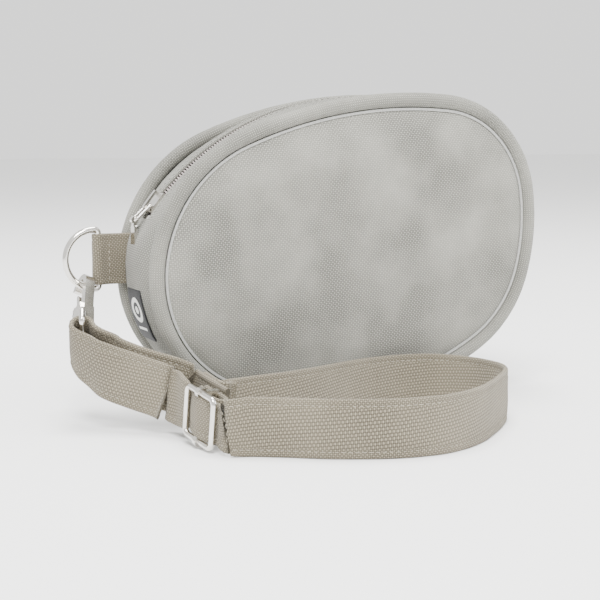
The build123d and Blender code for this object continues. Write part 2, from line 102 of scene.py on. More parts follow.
COIL_END = 1.2                            # degrees of tape without coil at each end

RING_BAR = Vector((-119.5, 45.0, 72.5))
TAB_WIDTH = 24.0

STRAP_WIDTH = 25.0
STRAP_THICK = 2.2
STRAP_SQUEEZED = 18.0                     # width inside the slide
STRAP_STITCH = 3.0                        # its stitching, in from each edge
STRAP_TURN = 4.9                          # its middle line's radius round the hook's bar
SLIDE_WIRE = 1.3                          # radius of the slide's wire
WIRE_GAP = 0.35                           # between the end wires and the strap behind them
BAR_REACH = 1.25                          # middle of the centre bar to the strap on either side
LAYER_GAP = 0.3
SEWN_GAP = 0.25
HOOK_RING = Vector((-126.8, 45.0, 59.63))
HOOK_LEAN = Vector((-7.2, -29.0, -23.0))
HOOK_LENGTH = 37.9
RING_HALF = 14.0
RING_OUT = -5.5                           # from the D's straight corner out to the hook
SLIDE_AT = Vector((-106.5, -52.0, 13.8))
SLIDE_RISE = math.radians(8.0)

# Camera, from the same fit that gave the sizes.
EYE = Vector((-311.4, -584.7, 132.6))
YAW = 0.441
PITCH = 0.1215
LENS = 83.1
SENSOR = 36.0

# Stage, metres.
FLOOR_HALF = 6.0
LIGHT_TARGET = (0.0, 0.0, 0.05)

# Colours, linear.
CLOTH_LIGHT = (0.335, 0.33, 0.29)
CLOTH_DARK = (0.05, 0.049, 0.042)
STRAP_LIGHT = (0.30, 0.265, 0.195)
STRAP_DARK = (0.04, 0.033, 0.022)


# ---- mesh helpers --------------------------------------------------------------------
def place(x, y, z):
    """A point in millimetres of the pouch's own coordinates, in the frame's metres."""
    return (Vector((x, y, z)) - FOOT) * MM


def make_mesh(name, points, faces, corners=None):
    """Mesh object from points in millimetres; corners is the weave coordinate of each corner."""
    data = bpy.data.meshes.new(name)
    data.from_pydata([place(*p) for p in points], [], faces)
    for polygon in data.polygons:
        polygon.use_smooth = True
    if corners:
        layer = data.uv_layers.new(name="weave")
        for loop, uv in zip(layer.data, corners):
            loop.uv = uv
    data.validate()
    obj = bpy.data.objects.new(name, data)
    bpy.context.scene.collection.objects.link(obj)
    return obj


def running(points):
    """Distance along a list of points."""
    total = [0.0]
    for a, b in zip(points, points[1:]):
        total.append(total[-1] + (Vector(b) - Vector(a)).length)
    return total


def grid(name, rows, wrap=False, around=False, flip=False):
    """Surface through rows of points. wrap joins last row to first, around the last column."""
    high, wide = len(rows), len(rows[0])
    points = [p for row in rows for p in row]
    lengths = running([row[0] for row in rows] + ([rows[0][0]] if wrap else []))
    across = running(list(rows[0]) + ([rows[0][0]] if around else []))
    faces, corners = [], []
    for i in range(high if wrap else high - 1):
        for j in range(wide if around else wide - 1):
            cell = [(i, j), (i + 1, j), (i + 1, j + 1), (i, j + 1)]
            if flip:
                cell.reverse()
            faces.append([(r % high) * wide + c % wide for r, c in cell])
            corners += [(lengths[r] * MM, across[c] * MM) for r, c in cell]
    return make_mesh(name, points, faces, corners)


def tube(name, path, radius, sides):
    """Round cord along a path of points."""
    rows = []
    last = len(path) - 1
    side = None
    for i, p in enumerate(path):
        ahead = (Vector(path[min(i + 1, last)]) - Vector(path[max(i - 1, 0)])).normalized()
        side = side - ahead * side.dot(ahead) if side else ahead.orthogonal()
        side.normalize()
        up = ahead.cross(side)
        ring = [Vector(p) + (side * math.cos(a) + up * math.sin(a)) * radius
                for a in (2 * math.pi * k / sides for k in range(sides))]
        rows.append(ring)
    return grid(name, rows, around=True)


def stitches(name, path, length=2.2, gap=0.9, radius=0.22):
    """Row of stitches along a path of (point, outward) pairs, each sunk at its ends."""
    points, faces = [], []
    where = running([p for p, _ in path])
    start = 0.4
    index = 0
    last = 5
    while start + length < where[-1]:
        rings = []
        for k in range(last + 1):
            at = start + length * k / last
            while index < len(path) - 2 and where[index + 1] < at:
                index += 1
            t = (at - where[index]) / max(where[index + 1] - where[index], 1e-9)
            p = Vector(path[index][0]).lerp(Vector(path[index + 1][0]), t)
            out = Vector(path[index][1])
            ahead = (Vector(path[index + 1][0]) - Vector(path[index][0])).normalized()
            side = ahead.cross(out)
            p = p + out * (radius * (2.2 * math.sin(math.pi * k / last) - 1.0))
            first = len(points)
            points += [p + side * radius, p + out * radius, p - side * radius, p - out * radius]
            rings.append(first)
        for a, b in zip(rings, rings[1:]):
            faces += [(a + j, a + (j + 1) % 4, b + (j + 1) % 4, b + j) for j in range(4)]
        start += length + gap
    return make_mesh(name, points, faces)


def finish_piece(obj, body, material, slot, *nodes):
    """Material and body of a piece, and the CAD nodes that it replaces; slot is not used."""
    obj.data.materials.append(material)
    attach(obj, body)
    if nodes:
        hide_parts(*nodes)
    return obj


def ripple(point, size, height):
    """Small repeatable unevenness of cloth."""
    return height * noise.noise(Vector(point) / size)


# ---- seam line and track -------------------------------------------------------------
def seam_arcs():
    """The seam line's arcs as (centre x, centre z, radius, first normal, turn)."""
    radii = list(SEAM_RADII)
    first = [SEAM_NORMAL + sum(SEAM_TURNS[:i]) for i in range(len(SEAM_TURNS))]
    steps = []
    for a, turn in zip(first, SEAM_TURNS):
        a0, a1 = math.radians(a), math.radians(a + turn)
        steps.append((math.cos(a1) - math.cos(a0), math.sin(a1) - math.sin(a0)))
    i, j = CLOSING_ARCS
    rest = [k for k in range(len(radii)) if k not in CLOSING_ARCS]
    gap_x = -sum(radii[k] * steps[k][0] for k in rest)
    gap_z = -sum(radii[k] * steps[k][1] for k in rest)
    det = steps[i][0] * steps[j][1] - steps[j][0] * steps[i][1]
    radii[i] = (gap_x * steps[j][1] - steps[j][0] * gap_z) / det
    radii[j] = (steps[i][0] * gap_z - gap_x * steps[i][1]) / det
    arcs = []
    x, z = SEAM_START
    for a, turn, radius, step in zip(first, SEAM_TURNS, radii, steps):
        cx = x - radius * math.cos(math.radians(a))
        cz = z - radius * math.sin(math.radians(a))
        arcs.append((cx, cz, radius, a, turn))
        x += radius * step[0]
        z += radius * step[1]
    return arcs


def seam_line(step):
    """Points round the seam line as (x, z, outward x, outward z)."""
    line = []
    for cx, cz, r, a, turn in seam_arcs():
        count = max(2, round(math.radians(turn) * r / step))
        for k in range(count):
            b = math.radians(a + turn * k / count)
            line.append((cx + r * math.cos(b), cz + r * math.sin(b), math.cos(b), math.sin(b)))
    return line


def track_angle(x, z):
    """Degrees about the track's centre, from 0 to 360."""
    return math.degrees(math.atan2(z - TRACK_CENTRE[1], x - TRACK_CENTRE[0])) % 360


def track_point(radius, y, degrees):
    """Point at a radius and an angle about the track's centre."""
    a = math.radians(degrees)
    return Vector((TRACK_CENTRE[0] + radius * math.cos(a), y, TRACK_CENTRE[1] + radius * math.sin(a)))


FINE_SEAM = seam_line(FINE)
UPPER_SEAM = [i for i, p in enumerate(FINE_SEAM) if p[1] > LOW_HALF]


def seam_index(degrees):
    """Where the upper seam line lies in one direction from the track's centre."""
    return min(UPPER_SEAM, key=lambda i: abs(track_angle(*FINE_SEAM[i][:2]) - degrees))


def seam_between(start, stop, step):
    """The seam line's points anticlockwise from one track direction to another."""
    first, last = seam_index(start), seam_index(stop)
    total = len(FINE_SEAM)
    skips = range(0, (last - first) % total, round(step / FINE))
    return [FINE_SEAM[(first + k) % total] for k in skips] + [FINE_SEAM[last]]


# ---- materials -----------------------------------------------------------------------
class Recipe:
    """Small builder for a node material."""

    def __init__(self, name):
        self.material = bpy.data.materials.new(name)
        self.material.use_nodes = True
        self.tree = self.material.node_tree
        self.shader = self.tree.nodes["Principled BSDF"]

    def put(self, socket, value):
        if isinstance(value, (int, float)):
            socket.default_value = value
        elif isinstance(value, tuple):
            socket.default_value = value + (1.0,) if len(value) == 3 else value
        else:
            self.tree.links.new(value, socket)

    def math(self, operation, a, b=0.0):
        node = self.tree.nodes.new("ShaderNodeMath")
        node.operation = operation
        self.put(node.inputs[0], a)
        self.put(node.inputs[1], b)
        return node.outputs[0]

    def mix(self, factor, a, b):
        node = self.tree.nodes.new("ShaderNodeMix")
        node.data_type = "RGBA"
        self.put(node.inputs["Factor"], factor)
        self.put(node.inputs["A"], a)
        self.put(node.inputs["B"], b)
        return node.outputs["Result"]

    def noise(self, scale, detail=2.0):
        node = self.tree.nodes.new("ShaderNodeTexNoise")
        node.inputs["Scale"].default_value = scale
        node.inputs["Detail"].default_value = detail
        self.put(node.inputs["Vector"], self.place())
        return node.outputs["Fac"]

    def place(self):
        return self.tree.nodes.new("ShaderNodeTexCoord").outputs["Object"]

    def weave_place(self):
        """The weave coordinate as (along, across), metres."""
        node = self.tree.nodes.new("ShaderNodeUVMap")
        node.uv_map = "weave"
        split = self.tree.nodes.new("ShaderNodeSeparateXYZ")
        self.tree.links.new(node.outputs["UV"], split.inputs[0])
        return split.outputs[0], split.outputs[1]

    def spread(self, value, low, high, to_low=0.0, to_high=1.0):
        node = self.tree.nodes.new("ShaderNodeMapRange")
        self.put(node.inputs["Value"], value)
        for key, number in (("From Min", low), ("From Max", high),
                            ("To Min", to_low), ("To Max", to_high)):
            node.inputs[key].default_value = number
        return node.outputs["Result"]

    def bump(self, height, distance, strength=1.0):
        node = self.tree.nodes.new("ShaderNodeBump")
        node.inputs["Strength"].default_value = strength
        node.inputs["Distance"].default_value = distance
        self.put(node.inputs["Height"], height)
        self.put(self.shader.inputs["Normal"], node.outputs["Normal"])

    def set(self, **values):
        for key, value in values.items():
            self.put(self.shader.inputs[key.replace("_", " ")], value)
        return self.material


def cloth(name, light, dark, cell, turn=0.0, mottle=0.3, relief=0.22):
    """Plain weave of pale warp over darker weft, with fuzz and cloudy patches."""
    m = Recipe(name)
    along, across = m.weave_place()
    c, s = math.cos(math.radians(turn)), math.sin(math.radians(turn))
    u = m.math("ADD", m.math("MULTIPLY", along, c), m.math("MULTIPLY", across, s))
    v = m.math("SUBTRACT", m.math("MULTIPLY", across, c), m.math("MULTIPLY", along, s))
    wobble = m.math("MULTIPLY", m.math("SUBTRACT", m.noise(420.0, 1.0), 0.5), 1.1)
    rate = math.pi / (cell * MM)
    a = m.math("SINE", m.math("ADD", m.math("MULTIPLY", u, rate), wobble))
    b = m.math("SINE", m.math("ADD", m.math("MULTIPLY", v, rate), wobble))
    cross = m.math("MULTIPLY", a, b)
    height = m.math("POWER", m.math("ABSOLUTE", cross), 0.55)
    over = m.spread(cross, -0.35, 0.35)
    yarn = m.mix(over, tuple(0.45 * x + 0.55 * y for x, y in zip(light, dark)), light)
    gap = m.spread(height, 0.2, 0.8)
    colour = m.mix(gap, dark, yarn)
    clouds = m.spread(m.noise(28.0, 3.0), 0.35, 0.68, 0.0, mottle)
    colour = m.mix(clouds, colour, tuple(min(1.0, 1.35 * x) for x in light))
    slub = m.spread(m.noise(900.0, 2.0), 0.3, 0.7, 0.0, 0.2)
    colour = m.mix(slub, colour, tuple(0.55 * x for x in light))
    m.bump(m.math("ADD", height, m.math("MULTIPLY", m.noise(2500.0, 1.0), 0.35)), relief * MM, 0.8)
    return m.set(Base_Color=colour, Roughness=0.92, Sheen_Weight=0.12, Sheen_Roughness=0.6,
                 Specular_IOR_Level=0.15)


def metal(name, colour, rough, grain=0.04):
    m = Recipe(name)
    stain = m.spread(m.noise(160.0, 3.0), 0.3, 0.75)
    tint = m.mix(stain, colour, tuple(0.82 * x for x in colour))
    polish = m.spread(m.noise(900.0, 3.0), 0.3, 0.7, rough, rough + grain * 2)
    m.bump(m.noise(420.0, 2.0), 0.012 * MM, 0.5)
    return m.set(Base_Color=tint, Metallic=1.0, Roughness=polish)


def thread(name, colour):
    m = Recipe(name)
    twist = m.spread(m.noise(1800.0, 2.0), 0.3, 0.7)
    tint = m.mix(twist, tuple(0.6 * x for x in colour), colour)
    return m.set(Base_Color=tint, Roughness=0.75, Specular_IOR_Level=0.3)


def nylon(name, colour):
    m = Recipe(name)
    patch = m.spread(m.noise(300.0, 2.0), 0.3, 0.7)
    tint = m.mix(patch, tuple(0.75 * x for x in colour), colour)
    return m.set(Base_Color=tint, Roughness=0.38, Specular_IOR_Level=0.5)


def label_material():
    """Black woven label with a plain pale ring, dot and rule; the mark is in millimetres."""
    m = Recipe("label_weave")
    along, across = m.weave_place()
    cell = 0.35
    ring_radius, ring_half = 5.0, 1.15
    dot_radius = 1.9
    rule_at, rule_half, rule_reach = 9.3, 0.7, 5.2
    rate = math.pi / (cell * MM)
    warp = m.math("MULTIPLY", m.math("SINE", m.math("MULTIPLY", along, rate)),
                  m.math("SINE", m.math("MULTIPLY", across, rate)))
    x = m.math("DIVIDE", m.math("SUBTRACT", along, LABEL_MIDDLE[0] * MM), MM)
    y = m.math("DIVIDE", m.math("SUBTRACT", across, LABEL_MIDDLE[1] * MM), MM)
    radius = m.math("SQRT", m.math("ADD", m.math("MULTIPLY", x, x), m.math("MULTIPLY", y, y)))
    ring = m.math("LESS_THAN", m.math("ABSOLUTE", m.math("SUBTRACT", radius, ring_radius)), ring_half)
    dot = m.math("LESS_THAN", radius, dot_radius)
    rule = m.math("MULTIPLY",
                  m.math("LESS_THAN", m.math("ABSOLUTE", m.math("SUBTRACT", x, rule_at)), rule_half),
                  m.math("LESS_THAN", m.math("ABSOLUTE", y), rule_reach))
    mark = m.math("MAXIMUM", m.math("MAXIMUM", ring, dot), rule)
    colour = m.mix(mark, (0.012, 0.012, 0.014), (0.8, 0.8, 0.78))
    m.bump(warp, 0.06 * MM, 0.6)
    return m.set(Base_Color=colour, Roughness=0.7)


panel_cloth = cloth("panel_cloth", CLOTH_LIGHT, CLOTH_DARK, 0.92, turn=4.0, mottle=0.45)
side_cloth = cloth("side_cloth", CLOTH_LIGHT, CLOTH_DARK, 0.85, turn=2.0, mottle=0.2)
piping_cloth = cloth("piping_cloth", CLOTH_LIGHT, CLOTH_DARK, 0.8, turn=45.0, mottle=0.35)
strap_cloth = cloth("strap_cloth", STRAP_LIGHT, STRAP_DARK, 0.85, turn=3.0, mottle=0.15)
lining_cloth = thread("lining_cloth", (0.42, 0.42, 0.40))
tape_weave = cloth("tape_weave", (0.30, 0.28, 0.27), (0.10, 0.09, 0.09), 0.45, mottle=0.05, relief=0.1)
coil_nylon = nylon("coil_nylon", (0.46, 0.40, 0.385))
cloth_thread = thread("cloth_thread", (0.36, 0.355, 0.32))
strap_thread = thread("strap_thread", (0.40, 0.365, 0.29))
nickel = metal("nickel", (0.76, 0.735, 0.69), 0.10)
steel = metal("steel", (0.55, 0.55, 0.55), 0.3, 0.1)


# ---- pouch ---------------------------------------------------------------------------
def make_panel(side):
    """Crowned panel, tucked in behind the piping all round."""
    seam = seam_line(1.6)
    rows = []
    for d, y in zip(PANEL_INSET, PANEL_DEPTH):
        ring = []
        for k, (x, z, nx, nz) in enumerate(seam):
            pucker = 0.22 * math.exp(-d / 5.0) * noise.noise(Vector((k * 0.35, d * 0.1, 3.0)))
            ring.append(Vector((x - nx * d, y + pucker, z - nz * d)))
        rows.append(ring)
    rim = rows[-1]
    for i in range(1, PANEL_RINGS + 1):
        t = i / (PANEL_RINGS + 0.4)
        y = PANEL_DEPTH[-1] - PANEL_CROWN * (1 - (1 - t) ** 2)
        ring = []
        for p in rim:
            q = p.lerp(Vector((PANEL_MIDDLE[0], p.y, PANEL_MIDDLE[1])), t)
            ring.append(Vector((q.x, y + ripple(q, 38.0, 0.9), q.z)))
        rows.append(ring)
    front = side == "front"
    points = [p if front else Vector((p.x, DEPTH - p.y, p.z)) for row in rows for p in row]
    wide = len(seam)
    faces = []
    for i in range(len(rows) - 1):
        for j in range(wide):
            k = (j + 1) % wide
            cell = [i * wide + j, (i + 1) * wide + j, (i + 1) * wide + k, i * wide + k]
            faces.append(cell if front else cell[::-1])
    middle = [(len(rows) - 1) * wide + j for j in range(wide)]
    faces.append(middle[::-1] if front else middle)
    corners = [(points[v].x * MM, points[v].z * MM) for face in faces for v in face]
    obj = make_mesh(side + "_panel_cloth", points, faces, corners)
    finish_piece(obj, "root", panel_cloth, "cloth", side + "_panel", side + "_wadding")


def make_piping(side, y):
    """Cloth-covered cord, a little uneven where the seam gathers it."""
    rows = []
    sides = 20
    for k, (x, z, nx, nz) in enumerate(seam_line(1.2)):
        out = Vector((nx, 0, nz))
        centre = Vector((x, y, z)) + out * PIPING_OUT
        radius = PIPING_R * (1 + 0.018 * noise.noise(Vector((k * 0.22, y, 0))))
        ring = []
        for j in range(sides):
            a = 2 * math.pi * j / sides
            p = centre + (out * math.cos(a) + Vector((0, math.sin(a), 0))) * radius
            p.z = max(p.z, 0.0)
            ring.append(p)
        rows.append(ring)
    obj = grid(side + "_piping_cover", rows, wrap=True, around=True, flip=True)
    finish_piece(obj, "root", piping_cloth, "piping", side + "_piping")


EDGE = PIPING_IN + PIPING_R - GUSSET_HIDDEN


def seam_radius(degrees):
    """Distance from the track's centre to the upper seam line, in one direction."""
    x, z = FINE_SEAM[seam_index(degrees)][:2]
    return math.hypot(x - TRACK_CENTRE[0], z - TRACK_CENTRE[1])


def crown(y):
    """0 at the piping and 1 from the zip's edges inwards."""
    front = (y - EDGE) / (ZIP_Y - ZIP_SLOT - EDGE)
    back = (DEPTH - EDGE - y) / (DEPTH - EDGE - ZIP_Y - ZIP_SLOT)
    t = max(0.0, min(1.0, front, back))
    return math.sin(math.pi / 2 * t) ** 0.6


def gusset_point(x, z, nx, nz, y, ends):
    """Point on the stuffed gusset; ends is how much it follows the zip's track here."""
    radial = Vector((x - TRACK_CENTRE[0], 0, z - TRACK_CENTRE[1]))
    crest = GUSSET_BULGE + (TRACK_R - radial.length - GUSSET_BULGE) * ends
    out = Vector((nx, 0, nz)).lerp(radial.normalized(), ends)
    p = Vector((x, y, z)) + out * (crown(y) * (crest + GUSSET_TUCK) - GUSSET_TUCK)
    p += out * ripple(p, 15.0, 0.5) * crown(y)
    p.z = max(p.z, 0.15)
    return p


def end_share(s, length):
    """1 where the zip ends, fading out down the gusset."""
    return math.exp(-(s / END_FADE) ** 2) + math.exp(-((length - s) / END_FADE) ** 2)


def make_lower_gusset():
    """Gusset round the sides and the bottom, from one end of the zip to the other."""
    rows = []
    line = seam_between(TRACK_LEFT, TRACK_RIGHT, 2.4)
    lengths = running([Vector((p[0], 0, p[1])) for p in line])
    for p, s in zip(line, lengths):
        ends = end_share(s, lengths[-1])
        depths = (EDGE + (DEPTH - 2 * EDGE) * (0.5 - 0.5 * math.cos(math.pi * j / GUSSET_COLUMNS))
                  for j in range(GUSSET_COLUMNS + 1))
        rows.append([gusset_point(*p, y, ends) for y in depths])
    obj = grid("gusset_cloth", rows, flip=True)
    finish_piece(obj, "root", side_cloth, "cloth", "lower_gusset")


def strip_rows(sign):
    """Rows along one zip strip, from the piping to the edge rolled under beside the zip."""
    rows = []
    steps = 120
    rim = ZIP_Y + sign * ZIP_SLOT
    edge = EDGE if sign < 0 else DEPTH - EDGE
    for i in range(steps + 1):
        degrees = TRACK_LEFT + (TRACK_RIGHT - TRACK_LEFT) * i / steps
        low = seam_radius(degrees) - GUSSET_TUCK
        row = []
        for k in range(15):
            y = edge + (rim - edge) * (0.5 - 0.5 * math.cos(math.pi * k / 14))
            r = low + (TRACK_R - low) * crown(y)
            r += ripple((degrees * 1.6, y, sign * 5.0), 5.0, 0.3) * (1 - crown(y))
            r -= 0.35 * math.exp(-((abs(rim - y) - STITCH_IN) / 0.5) ** 2)
            row.append((r, y))
        for a in (30, 60, 90, 120, 150, 180):
            b = math.radians(a)
            row.append((TRACK_R - ROLL_R + ROLL_R * math.cos(b), rim - sign * ROLL_WIDE * math.sin(b)))
        row.append((TRACK_R - 2.0, rim + sign * 3.0))
        rows.append([track_point(r, y, degrees) for r, y in row])
    return rows


def make_zip_strips():
    """Strip of cloth on each side of the zip, with its row of stitching."""
    steps = 240
    for side, sign in SIDES:
        obj = grid("zip_strip_" + side, strip_rows(sign), flip=sign > 0)
        finish_piece(obj, "root", side_cloth, "cloth", "zip_gusset_" + side)
        y = ZIP_Y + sign * (ZIP_SLOT + STITCH_IN)
        path = []
        for i in range(steps + 1):
            degrees = TRACK_LEFT + (TRACK_RIGHT - TRACK_LEFT) * i / steps
            p = track_point(TRACK_R - 0.1, y, degrees)
            path.append((p, track_point(1.0, 0, degrees) - track_point(0.0, 0, degrees)))
        row = stitches("zip_stitching_" + side, path)
        finish_piece(row, "root", cloth_thread, "cloth")


def make_tape(side, sign):
    """Woven zip tape with a ridge near the strip's edge."""
    steps = 160
    profile = [(TAPE_THICK, TAPE_REACH), (0.62, 4.4), (0.75, 4.0), (0.62, 3.6), (TAPE_THICK, 2.0),
               (TAPE_THICK, 0.9), (0.0, 0.9), (0.0, TAPE_REACH)]
    rows = []
    for i in range(steps + 1):
        degrees = TRACK_LEFT + (TRACK_RIGHT - TRACK_LEFT) * i / steps
        rows.append([track_point(TAPE_R + h, ZIP_Y + sign * w, degrees) for h, w in profile])
    tape = grid("zip_tape_cloth_" + side, rows, flip=sign < 0)
    finish_piece(tape, "root", tape_weave, "zip_tape", "zip_tape_" + side)


def make_coil(side, sign):
    """Nylon coil along the tape's edge."""
    span = TRACK_LEFT - TRACK_RIGHT - 2 * COIL_END
    turns = round(math.radians(span) * COIL_TRACK / COIL_PITCH)
    per_turn = 9
    path = []
    for k in range(turns * per_turn):
        degrees = TRACK_LEFT - COIL_END - span * k / (turns * per_turn)
        a = 2 * math.pi * k / per_turn + (0 if sign > 0 else math.pi)
        y = ZIP_Y + sign * COIL_Y + COIL_SWING * math.sin(a)
        path.append(track_point(COIL_TRACK + COIL_LIFT * math.cos(a), y, degrees))
    coil = tube("zip_teeth_" + side, path, COIL_THREAD, sides=5)
    finish_piece(coil, "root", coil_nylon, "zip_coil", "zip_coil_" + side)


# ---- straps --------------------------------------------------------------------------
def blended(stations, step=1.6):
    """Smooth route through (point, up, width) stations, by chord-length Catmull-Rom."""
    points = [Vector(s[0]) for s in stations]
    knots = [0.0]
    for a, b in zip(points, points[1:]):
        knots.append(knots[-1] + (b - a).length ** 0.5)
    route = []
    for i in range(len(points) - 1):
        i0, i3 = max(i - 1, 0), min(i + 2, len(points) - 1)
        t0, t1, t2, t3 = knots[i0], knots[i], knots[i + 1], knots[i3]
        if i0 == i:
            t0 = t1 - (t2 - t1)
        if i3 == i + 1:
            t3 = t2 + (t2 - t1)
        p0 = points[i0] if i0 != i else 2 * points[i] - points[i + 1]
        p3 = points[i3] if i3 != i + 1 else 2 * points[i + 1] - points[i]
        count = max(1, round((points[i + 1] - points[i]).length / step))
        for k in range(count):
            f = k / count
            t = t1 + (t2 - t1) * f
            a1 = p0.lerp(points[i], (t - t0) / (t1 - t0))
            a2 = points[i].lerp(points[i + 1], (t - t1) / (t2 - t1))
            a3 = points[i + 1].lerp(p3, (t - t2) / (t3 - t2))
            b1 = a1.lerp(a2, (t - t0) / (t2 - t0))
            b2 = a2.lerp(a3, (t - t1) / (t3 - t1))
            ease = f * f * (3 - 2 * f)
            up = Vector(stations[i][1]).normalized().lerp(Vector(stations[i + 1][1]).normalized(), ease)
            width = stations[i][2] + (stations[i + 1][2] - stations[i][2]) * ease
            route.append((b1.lerp(b2, f), up.normalized(), width))
    route.append((points[-1], Vector(stations[-1][1]).normalized(), stations[-1][2]))
    return route


def half_thickness(from_edge, thick):
    """Half the strap's thickness: a rolled edge, then a groove under its stitching."""
    half = thick / 2
    if from_edge < half:
        return math.sqrt(max(0.0, half ** 2 - (half - from_edge) ** 2))
    groove = 0.32 * half * math.exp(-((from_edge - STRAP_STITCH) / 0.55) ** 2)
    return half - groove


def strap_profile(width, thick):
    """Closed profile as (across, out, outward) from one edge round to the same edge."""
    depth = [0.0, 0.15, 0.5, 1.1, 2.0, 2.5, 3.0, 3.5, 4.2]
    depth += [4.2 + (width / 2 - 4.2) * k / 3 for k in (1, 2, 3)]
    face = [(width / 2 - d, half_thickness(d, thick)) for d in depth]
    face += [(-s, t) for s, t in reversed(face[:-1])]
    return face + [(s, -t) for s, t in reversed(face[1:-1])]


def ribbon(name, stations, thick=STRAP_THICK, waviness=0.25, step=1.6):
    """Strap mesh along its route, and the route with its frame at each point."""
    route = blended(stations, step)
    rows, frames = [], []
    for i, (p, up, width) in enumerate(route):
        ahead = (route[min(i + 1, len(route) - 1)][0] - route[max(i - 1, 0)][0]).normalized()
        up = (up - ahead * up.dot(ahead)).normalized()
        out = up.cross(ahead).normalized()
        row = []
        for s, t in strap_profile(width, thick):
            q = p + up * s + out * t
            row.append(q + out * ripple((i * 0.5, s * 0.7, len(name)), 5.0, waviness))
        rows.append(row)
        frames.append((p, up, out, width))
    obj = grid(name, rows, around=True)
    close_ends(obj, len(rows), len(rows[0]))
    return obj, frames


def close_ends(obj, high, wide):
    """Caps on both cut ends of a ribbon."""
    mesh = bmesh.new()
    mesh.from_mesh(obj.data)
    mesh.verts.ensure_lookup_table()
    mesh.faces.new([mesh.verts[j] for j in range(wide)])
    mesh.faces.new([mesh.verts[(high - 1) * wide + j] for j in reversed(range(wide))])
    mesh.to_mesh(obj.data)
    mesh.free()


def edge_stitching(name, frames, body):
    """Stitch rows in from both edges, on both faces."""
    made = []
    for edge in (1, -1):
        for face in (1, -1):
            path = []
            for p, up, out, width in frames:
                normal = out * face
                at = p + up * edge * (width / 2 - STRAP_STITCH) + normal * (STRAP_THICK / 2 * 0.68 - 0.05)
                path.append((at, normal))
            made.append(stitches(name, path, length=2.0, gap=0.8, radius=0.2))
    joined = join(made, name)
    finish_piece(joined, body, strap_thread, "strap")


def join(objects, name):
    """One object from several made in the same place."""
    points, faces = [], []
    for obj in objects:
        first = len(points)
        points += [v.co.copy() for v in obj.data.vertices]
        faces += [[first + i for i in f.vertices] for f in obj.data.polygons]
        data = obj.data
        bpy.data.objects.remove(obj)
        bpy.data.meshes.remove(data)
    data = bpy.data.meshes.new(name)
    data.from_pydata(points, [], faces)
    for polygon in data.polygons:
        polygon.use_smooth = True
    obj = bpy.data.objects.new(name, data)
    bpy.context.scene.collection.objects.link(obj)
    return obj


# The hook hangs on the D-ring's bow; its strap bar stands as upright as it can.
DROP = math.sqrt(RING_HALF ** 2 - RING_OUT ** 2)
WIRE_DIR = Vector((DROP, 0, RING_OUT)).normalized()
UP_HOOK = -HOOK_LEAN.normalized()
UP_HOOK = (UP_HOOK - WIRE_DIR * WIRE_DIR.dot(UP_HOOK)).normalized()
BAR_DIR = (Vector((0, 0, 1)) - UP_HOOK * UP_HOOK.z).normalized()
ACROSS = BAR_DIR.cross(-UP_HOOK)
EYE_AT = HOOK_RING - UP_HOOK * HOOK_LENGTH

LEVEL_RUN = Vector((-0.124, 0.992, 0)).normalized()
RUN = LEVEL_RUN * math.cos(SLIDE_RISE) + Vector((0, 0, math.sin(SLIDE_RISE)))
OUTWARD = Vector((-LEVEL_RUN.y, LEVEL_RUN.x, 0))
SLIDE_UP = -RUN.cross(OUTWARD)

# Middle of each layer of strap at the slide, in from the middle of the slide's end wires.
STRAP_IN = SLIDE_WIRE + WIRE_GAP + STRAP_THICK / 2
TAIL_IN = STRAP_IN + STRAP_THICK + LAYER_GAP
BAR_IN = TAIL_IN + STRAP_THICK / 2 + BAR_REACH
ARM_IN = BAR_IN + BAR_REACH + STRAP_THICK / 2
RETURN_IN = ARM_IN + STRAP_THICK + LAYER_GAP
SEWN_IN = RETURN_IN + STRAP_THICK + SEWN_GAP
UPRIGHT = Vector((0, 0, 1))


def in_slide(along, inside):
    """Point along the slide from its middle, and in from its end wires."""
    return SLIDE_AT + RUN * along - OUTWARD * inside


